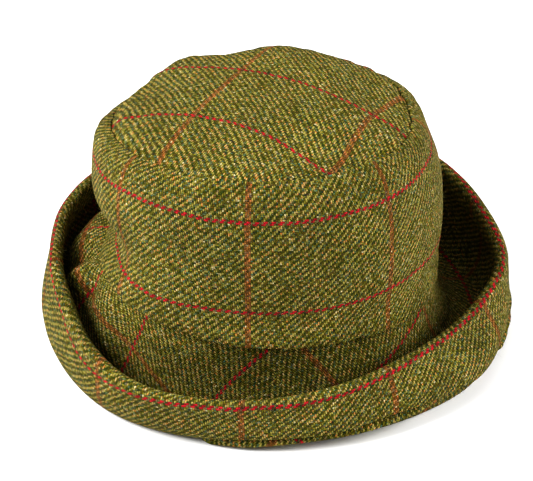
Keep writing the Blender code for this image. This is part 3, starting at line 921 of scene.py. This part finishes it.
def tweed_group(twill, melange):
    """Tweed: olive warp over dark green weft, with the red and the rust overcheck.

    Two weft yarns in every repeat are red and three warp yarns are rust. Each float has its own
    draws of colour, brightness and flecks. Shade is painted into the colour: wool between two
    yarns is darker than on top of them, but not on the red floats. A slow noise makes patches a
    little lighter or darker.
    """
    group, patch, given, put = new_group(
        "tweed", (("Yarns", "Vector"), ("Looseness", "Float"), ("Speckle", "Float"),
                  *((name, "Color") for name in TWEED_COLOURS)),
        (("Color", "Color"), ("Height", "Float"), ("Roughness", "Float")))
    inputs = {"Yarns": given["Yarns"], "Looseness": given["Looseness"]}
    weave = patch.add_named("ShaderNodeGroup", inputs, node_tree=twill)
    place, on_top, height = weave["Place"], weave["Warp On Top"], weave["Height"]
    float_place = patch.add("ShaderNodeCombineXYZ", weave["Warp Number"], weave["Weft Number"],
                            on_top).outputs[0]
    draws = patch.add("ShaderNodeTexWhiteNoise", float_place, noise_dimensions="3D").outputs
    draw = draws["Value"]
    brightness, pale, dark = patch.add("ShaderNodeSeparateColor", draws["Color"]).outputs

    def wool(along, main, second, third, speck):
        """Wool of four of the tweed's colours, with its place multiplied by along."""
        inputs = {"Along": patch.vector("MULTIPLY", place, along), "Draw": draw,
                  "Main": given[main], "Second": given[second], "Third": given[third],
                  "Speck": given[speck]}
        return patch.add_named("ShaderNodeGroup", inputs, node_tree=melange)["Color"]

    def line(number, repeat, yarns):
        """1 on the first yarns of each repeat, and 0 on the others."""
        turn = patch.math("FLOORED_MODULO", number, repeat)
        return patch.math("LESS_THAN", turn, yarns - 0.5)

    red_line = line(weave["Weft Number"], float(RED_REPEAT), RED_YARNS)
    rust_line = line(weave["Warp Number"], float(RUST_REPEAT), RUST_YARNS)
    warp = wool((ACROSS_YARN, ALONG_YARN, 1.0), "Olive", "Gold", "Tan", "Orange")
    warp = patch.blend(patch.math("MULTIPLY", rust_line, RUST_IN_WARP), warp, given["Rust"])
    warp = patch.blend(patch.math("MULTIPLY", red_line, NAVY_IN_WARP), warp, given["Navy"])
    weft = wool((ALONG_YARN, ACROSS_YARN, 1.0), "Green", "Bark", "Teal", "Olive")
    weft = patch.blend(patch.math("MULTIPLY", rust_line, RUST_IN_WEFT), weft, given["Rust"])
    weft = patch.blend(red_line, weft, given["Red"])
    colour = patch.blend(on_top, weft, warp)
    cover = patch.math("MULTIPLY", patch.math("SUBTRACT", 1.0, red_line), FLECK_COVER)
    for fleck, (name, share) in zip((pale, dark), FLECKS):
        flecked = patch.math("MULTIPLY", patch.math("LESS_THAN", fleck, share), cover)
        colour = patch.blend(flecked, colour, given[name])
    fuzz = patch.noise(given["Yarns"], FUZZ_SCALE, detail=4.0, roughness=0.75)
    cloudy = patch.noise(given["Yarns"], CLOUD_SCALE, detail=3.0)

    def swing(value, share):
        """1 plus the value's distance from 0.5 times the share and the speckle."""
        centred = patch.math("SUBTRACT", value, 0.5)
        share = patch.math("MULTIPLY", given["Speckle"], share)
        return patch.math("MULTIPLY_ADD", centred, share, 1.0)

    # Painted shade: darker in the gaps between yarns and brighter on their tops, but not on the red
    # floats
    shade = patch.steps(height, 0.0, SHADE_FULL, *SHADE)
    red_float = patch.math("MULTIPLY", red_line, patch.math("SUBTRACT", 1.0, on_top))
    shade = patch.math("MAXIMUM", shade, red_float)
    for value, share in ((brightness, DRAW_SWING), (fuzz, FUZZ_SWING), (cloudy, CLOUD_SWING)):
        change = patch.math("MAXIMUM", swing(value, share), SHADE_LEAST)
        shade = patch.math("MULTIPLY", shade, change)
    # The colour is multiplied by the painted shade and by the wool's own random changes of
    # brightness
    grey = patch.add("ShaderNodeCombineColor", shade, shade, shade).outputs[0]
    colour = patch.blend(1.0, colour, grey, how="MULTIPLY")
    patch.feed(put["Color"], colour)
    patch.feed(put["Height"], patch.math("MULTIPLY_ADD", fuzz, FUZZ_HEIGHT, height))
    patch.feed(put["Roughness"], patch.steps(fuzz, *FUZZ_STEP, *ROUGHNESS))
    return group


def new_material(name):
    """A material with nodes, its patch and its shader."""
    material = bpy.data.materials.new(name)
    material.use_nodes = True
    return material, Patch(material.node_tree), material.node_tree.nodes["Principled BSDF"]


def tweed_material(name, look):
    """Woollen tweed on the UV map "yarns": rough, with a soft sheen of stray fibres."""
    group = bpy.data.node_groups.get("tweed") or tweed_group(twill_group(), melange_group())
    material, patch, shader = new_material(name)
    yarns = patch.add("ShaderNodeUVMap", uv_map="yarns").outputs["UV"]
    inputs = {name: (*getattr(look, name.lower()), 1.0) for name in TWEED_COLOURS}
    inputs.update({"Yarns": yarns, "Looseness": look.looseness, "Speckle": look.speckle})
    tweed = patch.add_named("ShaderNodeGroup", inputs, node_tree=group)
    inputs = {"Strength": 1.0, "Distance": look.weave_depth, "Height": tweed["Height"]}
    bump = patch.add_named("ShaderNodeBump", inputs)
    patch.feed(shader.inputs["Base Color"], tweed["Color"])
    patch.feed(shader.inputs["Roughness"], tweed["Roughness"])
    patch.feed(shader.inputs["Normal"], bump["Normal"])
    shader.inputs["Specular IOR Level"].default_value = 0.1
    shader.inputs["Sheen Weight"].default_value = look.sheen
    shader.inputs["Sheen Roughness"].default_value = 0.6
    shader.inputs["Sheen Tint"].default_value = (*look.gold, 1.0)
    return material


def cloth_area(form, middle):
    """Area of a cloth's middle: half the cross product of each quad's diagonals, summed."""
    solid = form.turned_out(middle)
    one = solid[1:, 1:] - solid[:-1, :-1]
    other = solid[1:, :-1] - solid[:-1, 1:]
    return float(np.linalg.norm(np.cross(one, other), axis=-1).sum() / 2)


def add_object(context, name, data):
    """A new object with its data, in the scene."""
    added = bpy.data.objects.new(name, data)
    context.scene.collection.objects.link(added)
    return added


def add_cloth(context, node, middle, cut, form, from_pole=False):
    """A piece of the hat from the middle of its cloth, in place of its CAD node.

    Its name is the node's with "_cloth" after it. The cut is its flat shape in yarns. The area
    of its middle is worked out but not used.
    """
    name = node + "_cloth"
    flat = lay_on_cloth(node, cut)
    profiles, flats = round_cloth(middle, form.size.cloth, flat, ROWS["cap"], from_pole)
    mesh = cloth_mesh(name, form, profiles, flats, from_pole)
    piece = add_object(context, name, mesh)
    mesh.materials.append(tweed_material(name + "_tweed", context.scene.hat_tweed))
    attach(piece, BODY)
    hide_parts(node)
    cloth_area(form, middle)


def wool_roots(pieces, count, draw):
    """Random places on the pieces and the normals there: triangles are drawn by their area.

    A place is corner + p side + q other side, with p and q folded so that p + q stays below 1.
    """
    corners = []
    for piece in pieces:
        mesh = piece.data
        points = np.empty(len(mesh.vertices) * 3, dtype=np.float32)
        mesh.vertices.foreach_get("co", points)
        mesh.calc_loop_triangles()
        index = np.empty(len(mesh.loop_triangles) * 3, dtype=np.int32)
        mesh.loop_triangles.foreach_get("vertices", index)
        corners.append(points.reshape(-1, 3)[index].reshape(-1, 3, 3))
    corners = np.concatenate(corners).astype(float)
    side, other = corners[:, 1] - corners[:, 0], corners[:, 2] - corners[:, 0]
    across = np.cross(side, other)
    area = np.linalg.norm(across, axis=1)
    picked = draw.choice(len(area), count, p=area / area.sum())
    share = draw.random((count, 2))
    share = np.where(share.sum(axis=1, keepdims=True) > 1, 1 - share, share)
    place = corners[picked, 0] + share[:, :1] * side[picked] + share[:, 1:] * other[picked]
    return place, across[picked] / area[picked, None]


def unit(vectors):
    """The vectors, each made one long."""
    return vectors / np.linalg.norm(vectors, axis=-1, keepdims=True)


def fibre_mesh(name, roots, normals, look, draw):
    """Thin tapered hairs of three sides, each closed at its root and pointed at its end.

    A hair is root + length (s start + s^2 curl), for s from 0 to 1. Its rings are circles of
    three places across the start's direction, smaller towards the point. No hair goes below the
    table.
    """
    count = len(roots)
    tangent = unit(np.cross(normals, draw.normal(size=(count, 3))))
    start = unit(FIBRE_LIFT * draw.random((count, 1)) * normals + tangent)
    curl = FIBRE_CURL * draw.normal(size=(count, 3))
    length = look.fibre_length * draw.gamma(FIBRE_SPREAD, 1 / FIBRE_SPREAD, (count, 1))
    first = unit(np.cross(start, normals + FIBRE_CURL * curl))
    second = np.cross(start, first)
    along = np.arange(FIBRE_RINGS) / FIBRE_RINGS
    turn = np.arange(FIBRE_SIDES) * 2 * np.pi / FIBRE_SIDES

    def middle(s):
        return (roots - FIBRE_DEPTH * normals)[:, None] + length[:, None] * (
            s[:, None] * start[:, None] + s[:, None] ** 2 * curl[:, None])

    ring = np.cos(turn)[:, None] * first[:, None] + np.sin(turn)[:, None] * second[:, None]
    radius = look.fibre_width / 2 * (1 - along)
    rings = middle(along)[:, :, None] + radius[:, None, None] * ring[:, None]
    points = np.concatenate((rings.reshape(count, -1, 3), middle(np.ones(1))), axis=1)
    points[..., 2] = np.maximum(points[..., 2], FIBRE_DEPTH)
    per_hair = points.shape[1]
    here = np.arange(FIBRE_SIDES)
    after = (here + 1) % FIBRE_SIDES
    step = (np.arange(FIBRE_RINGS - 1) * FIBRE_SIDES)[:, None]
    quads = np.stack((step + here, step + after, step + after + FIBRE_SIDES,
                      step + here + FIBRE_SIDES), axis=-1).reshape(-1, 4)
    last = (FIBRE_RINGS - 1) * FIBRE_SIDES
    ends = np.stack((last + here, last + after, np.full(FIBRE_SIDES, per_hair - 1)), axis=-1)
    faces = quads.tolist() + ends.tolist() + [here[::-1].tolist()]
    sizes = np.tile([len(face) for face in faces], count)
    corners = np.concatenate(faces)[None] + np.arange(count)[:, None] * per_hair
    mesh = mesh_of(name, points.reshape(-1, 3), corners.ravel(), sizes)
    mesh.validate()
    return mesh


def fibre_material(name, look):
    """Gold and cream wool, changing from hair to hair with a fine noise in the object."""
    material, patch, shader = new_material(name)
    place = patch.add("ShaderNodeTexCoord").outputs["Object"]
    share = patch.steps(patch.noise(place, FIBRE_MIX), *FIBRE_MIX_STEP)
    colour = patch.blend(share, (*look.gold, 1.0), (*look.cream, 1.0))
    patch.feed(shader.inputs["Base Color"], colour)
    shader.inputs["Roughness"].default_value = 0.8
    shader.inputs["Specular IOR Level"].default_value = 0.2
    return material


def length_property(name, default, description):
    """A length, shown to a thousandth of a millimetre."""
    return FloatProperty(name=name, default=default, description=description, unit="LENGTH",
                         precision=6)


def power_property(name, default, description):
    return FloatProperty(name=name, default=default, description=description, unit="POWER")


def colour_property(name, default, description):
    return FloatVectorProperty(name=name, default=default, description=description,
                               subtype="COLOR", min=0.0, max=1.0)


class HatSizes(bpy.types.PropertyGroup):
    """Sizes of the hat that its form is worked out from"""

    crown_width: length_property("Crown width", 0.186, "Crown at its fullest, side to side")
    crown_depth: length_property("Crown depth", 0.191, "Crown at its fullest, front to back")
    seam_rise: length_property("Head seam", 0.046, "Head seam above the table")
    band_rise: length_property("Band height", 0.090,
                               "Side band from the head seam up to the tip seam")
    dome_rise: length_property("Dome", 0.017, "Middle of the tip above its seam")
    brim_reach: length_property("Brim reach", 0.047, "Widest part of the brim beyond the head seam")
    turn_up: length_property("Turn-up", 0.064, "Highest part of the rim above the table")
    cloth: length_property("Cloth", 0.0016, "Thickness of one layer of tweed")
    layer_gap: length_property("Layer gap", 0.0004, "Air between two layers that lie on each other")
    seam_tuck: length_property("Seam tuck", 0.007, "Seam allowance turned inside the side band")
    sole_width: length_property("Sole", 0.006, "Flat ring that rests on the table")
    cuff_lap: length_property("Cuff lap", 0.008, "How far the cuff reaches down inside the rim")
    lip: length_property("Band lip", 0.0036,
                         "How far the band's lower edge rolls out over the brim")
    shoulder: length_property("Shoulder", 0.0022,
                              "How far the band's upper edge leans in to the tip")
    puff: length_property("Puff", 0.0030, "How far the tip swells beside its seam")
    pucker: length_property("Pucker", 0.0003, "Height of the small gathers along the seams")
    flare: length_property("Cuff flare", 0.0014,
                           "How far the cuff's lower edge stands off the brim")
    hem_roll: length_property("Hem roll", 0.0046,
                              "How far the brim swells below the cuff's lower edge")
    wobble: length_property("Unevenness", 0.0005, "Height of the soft waves in the cloth")
    yarn: length_property("Yarn", 0.00097, "Distance from one yarn of the weave to the next")
    bearings: IntProperty(name="Bearings", default=480, min=48,
                          description="Columns of the meshes round the hat")


class HatTweed(bpy.types.PropertyGroup):
    """Colours and relief of the tweed"""

    gold: colour_property("Gold", (0.215, 0.184, 0.036), "Light gold wool of the warp")
    olive: colour_property("Olive", (0.120, 0.106, 0.004), "Olive wool, the main colour")
    tan: colour_property("Tan", (0.235, 0.170, 0.060), "Tan wool of the warp")
    orange: colour_property("Orange", (0.25, 0.095, 0.014), "Orange flecks of the warp")
    green: colour_property("Green", (0.032, 0.049, 0.003), "Dark green wool of the weft")
    teal: colour_property("Teal", (0.026, 0.072, 0.048), "Teal wool of the weft")
    bark: colour_property("Bark", (0.072, 0.046, 0.003), "Brown wool of the weft")
    red: colour_property("Red", (0.27, 0.006, 0.012), "Yarns of the red overcheck")
    rust: colour_property("Rust", (0.23, 0.045, 0.013), "Yarns of the rust overcheck")
    navy: colour_property("Navy", (0.012, 0.010, 0.018), "Dark wool between the red dots")
    cream: colour_property("Cream", (0.46, 0.40, 0.22), "Pale flecks and stray fibres")
    looseness: FloatProperty(name="Looseness", default=0.8, min=0.0,
                             description="How far the yarns sway")
    speckle: FloatProperty(name="Speckle", default=1.0, min=0.0,
                           description="How much the wool's brightness changes in small places")
    sheen: FloatProperty(name="Sheen", default=0.07, min=0.0, max=1.0, subtype="FACTOR",
                         description="Light that the stray fibres catch")
    weave_depth: length_property("Weave depth", 0.00035, "Height of the yarns in the weave")
    fibres: IntProperty(name="Fibres", default=9000, min=1, description="Number of stray fibres")
    fibre_length: length_property("Fibre length", 0.0028, "Mean length of a stray fibre")
    fibre_width: length_property("Fibre width", 0.00007, "Thickness of a stray fibre's root")


class HatStudio(bpy.types.PropertyGroup):
    """Camera, floor and lights"""

    distance: length_property("Camera distance", 0.85, "Camera from the point that it looks at")
    elevation: FloatProperty(name="Elevation", default=31.0,
                             description="Camera above the table, in degrees")
    aim: length_property("Aim", 0.054, "Height of the point on the crown's axis it looks at")
    lens: FloatProperty(name="Lens", default=105.03, unit="CAMERA",
                        description="Focal length for a 36 mm wide image")
    floor: length_property("Floor", 6.0, "Side of the floor")
    surround: FloatProperty(name="Surround", default=0.13, min=0.0,
                            description="Strength of the pale light from all round")
    overhead: power_property("Overhead", 6.0, "Power of the soft light above the hat")
    left: power_property("Left", 42.0, "Power of the soft light on the left")
    right: power_property("Right", 26.0, "Power of the soft light on the right")


def paper_material(name):
    """Matt pale paper."""
    paper, _, shader = new_material(name)
    shader.inputs["Base Color"].default_value = PAPER
    shader.inputs["Roughness"].default_value = PAPER_ROUGHNESS
    return paper


def add_floor(context, side):
    """A square of paper at the table's height."""
    half = side / 2
    mesh = bpy.data.meshes.new("floor")
    mesh.from_pydata([(-half, -half, 0), (half, -half, 0), (half, half, 0), (-half, half, 0)],
                     [], [(0, 1, 2, 3)])
    mesh.materials.append(paper_material("white_paper"))
    floor = add_object(context, "floor", mesh)


def add_lights(context, studio):
    """Soft square lights turned to the hat, and even pale light from all round."""
    for name, (place, side) in LIGHTS.items():
        light = bpy.data.lights.new(name, "AREA")
        light.energy = getattr(studio, name)
        light.shape = "SQUARE"
        light.size = side
        lamp = add_object(context, name, light)
        lamp.location = place
        aim = Vector((0.0, 0.0, studio.aim)) - Vector(place)
        lamp.rotation_euler = aim.to_track_quat("-Z", "Y").to_euler()
    world = bpy.data.worlds.new("pale_room")
    world.use_nodes = True
    background = world.node_tree.nodes["Background"]
    background.inputs["Color"].default_value = (1.0, 1.0, 1.0, 1.0)
    background.inputs["Strength"].default_value = studio.surround
    context.scene.world = world


def add_camera(context, studio):
    """The camera in front of the crown's axis: its place is aim + distance (0, -cos e, sin e)."""
    lens = bpy.data.cameras.new("camera")
    lens.lens = studio.lens
    lens.sensor_fit = "HORIZONTAL"
    camera = add_object(context, "camera", lens)
    axis = -np.array((*HatForm(context.scene.hat_sizes).centre, 0.0))
    raised = np.radians(studio.elevation)
    towards = np.array((0.0, -np.cos(raised), np.sin(raised)))
    camera.location = axis + (0.0, 0.0, studio.aim) + studio.distance * towards
    camera.rotation_euler = (np.pi / 2 - raised, 0.0, 0.0)
    context.scene.camera = camera


class HAT_OT_tip(bpy.types.Operator):
    """Add the domed tip of the crown"""

    bl_idname = "hat.tip"
    bl_label = "Tip"

    def execute(self, context):
        form = HatForm(context.scene.hat_sizes)
        middle = form.tip_grid()
        add_cloth(context, "tip", middle, yarns_in_plan(form, middle), form,
                  from_pole=True)
        return {"FINISHED"}


class HAT_OT_side_band(bpy.types.Operator):
    """Add the side band between the head seam and the tip seam"""

    bl_idname = "hat.side_band"
    bl_label = "Side band"

    def execute(self, context):
        form = HatForm(context.scene.hat_sizes)
        middle = form.band_grid()
        level = level_run(middle, BAND_LEVEL)
        cut = yarns_round(form, middle, level, BAND_GIRTH)
        add_cloth(context, "side_band", middle, cut, form)
        return {"FINISHED"}


class HAT_OT_brim(bpy.types.Operator):
    """Add the two layers of the brim"""

    bl_idname = "hat.brim"
    bl_label = "Brim"

    def execute(self, context):
        form = HatForm(context.scene.hat_sizes)
        for node, middle, seam_row, below in (
                ("brim_upper", form.upper_grid(), ROWS["tuck"], ["brim_under"]),
                ("brim_under", form.under_grid(), 0, [])):
            cut = yarns_of_brim(form, middle, seam_row)
            add_cloth(context, node, middle, cut, form)
        return {"FINISHED"}


class HAT_OT_cuff(bpy.types.Operator):
    """Add the cuff that is folded over the rim of the brim"""

    bl_idname = "hat.cuff"
    bl_label = "Cuff"

    def execute(self, context):
        form = HatForm(context.scene.hat_sizes)
        middle = form.cuff_grid()
        crest_row = ROWS["stand"] + ROWS["lap"] + ROWS["crest"] // 2
        level = run_along(middle)[:, crest_row:crest_row + 1]
        level = level + around("line", form.bearing) * form.size.yarn
        cut = yarns_round(form, middle, level, CUFF_GIRTH)
        add_cloth(context, "cuff", middle, cut, form)
        return {"FINISHED"}


class HAT_OT_fibres(bpy.types.Operator):
    """Add the stray fibres that stand off the wool"""

    bl_idname = "hat.fibres"
    bl_label = "Stray fibres"

    def execute(self, context):
        look = context.scene.hat_tweed
        draw = np.random.default_rng(FIBRE_SEED)
        pieces = [bpy.data.objects[name + "_cloth"]
                  for name in ("tip", "side_band", "brim_upper", "cuff")]
        roots, normals = wool_roots(pieces, look.fibres, draw)
        mesh = fibre_mesh("stray_fibres", roots, normals, look, draw)
        piece = add_object(context, "stray_fibres", mesh)
        mesh.materials.append(fibre_material("stray_wool", look))
        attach(piece, BODY)
        return {"FINISHED"}


class HAT_OT_studio(bpy.types.Operator):
    """Add the pale floor, the soft lights and the camera"""

    bl_idname = "hat.studio"
    bl_label = "Studio"

    def execute(self, context):
        studio = context.scene.hat_studio
        add_floor(context, studio.floor)
        add_lights(context, studio)
        add_camera(context, studio)
        context.scene.view_settings.view_transform = "Standard"
        context.scene.view_settings.look = "Medium High Contrast"
        return {"FINISHED"}


class HAT_PT_panel(bpy.types.Panel):
    """Buttons and settings of the hat"""

    bl_idname = "HAT_PT_panel"
    bl_label = "Tweed hat"
    bl_space_type = "VIEW_3D"
    bl_region_type = "UI"
    bl_category = "Hat"

    def draw(self, context):
        for operator in OPERATORS:
            self.layout.operator(operator.bl_idname)
        for group in SETTINGS:
            box = self.layout.box()
            settings = getattr(context.scene, group)
            for name in SETTINGS[group].__annotations__:
                box.prop(settings, name)


OPERATORS = (HAT_OT_tip, HAT_OT_side_band, HAT_OT_brim, HAT_OT_cuff, HAT_OT_fibres,
             HAT_OT_studio)
SETTINGS = {"hat_sizes": HatSizes, "hat_tweed": HatTweed, "hat_studio": HatStudio}


def register():
    for group in (*SETTINGS.values(), *OPERATORS, HAT_PT_panel):
        bpy.utils.register_class(group)
    for name, group in SETTINGS.items():
        setattr(bpy.types.Scene, name, PointerProperty(type=group))


def unregister():
    for name in SETTINGS:
        delattr(bpy.types.Scene, name)
    for group in (HAT_PT_panel, *OPERATORS, *SETTINGS.values()):
        bpy.utils.unregister_class(group)


def main():
    register()
    for operator in OPERATORS:
        family, name = operator.bl_idname.split(".")
        getattr(getattr(bpy.ops, family), name)()
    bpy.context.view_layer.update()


if __name__ == "__main__":
    main()
